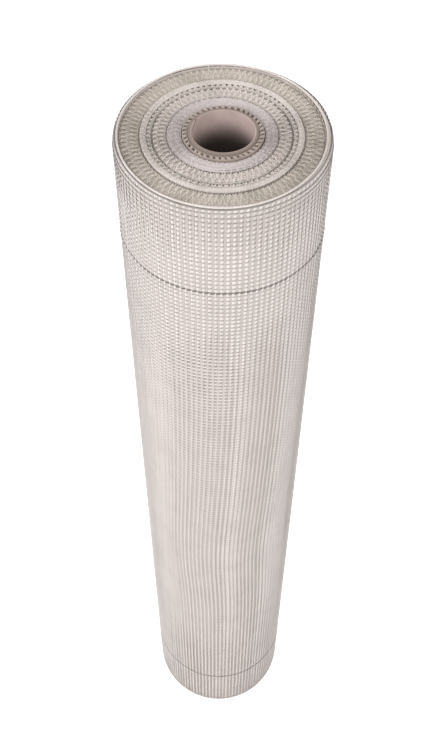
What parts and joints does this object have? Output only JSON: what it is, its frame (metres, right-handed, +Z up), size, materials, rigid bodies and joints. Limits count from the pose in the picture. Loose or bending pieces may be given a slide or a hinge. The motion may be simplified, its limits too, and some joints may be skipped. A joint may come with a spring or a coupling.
{
  "type": "fiberglass mesh roll",
  "caption": "Upright roll of open-weave white glass-fibre mesh wound on a cardboard tube, for reinforcing render and plaster",
  "frame": {"origin": "centre of the lower end, on the surface that the roll stands on", "axes": "+Z up along the roll's axis, towards the end that the picture shows; -Y towards the viewer"},
  "size_m": [0.1746, 0.1746, 1],
  "materials": {
    "fiberglass_mesh": "matte",
    "cardboard": "matte"
  },
  "bodies": {
    "root": {"mesh_roll": "fiberglass_mesh", "core_tube": "cardboard"}
  },
  "joints": []
}
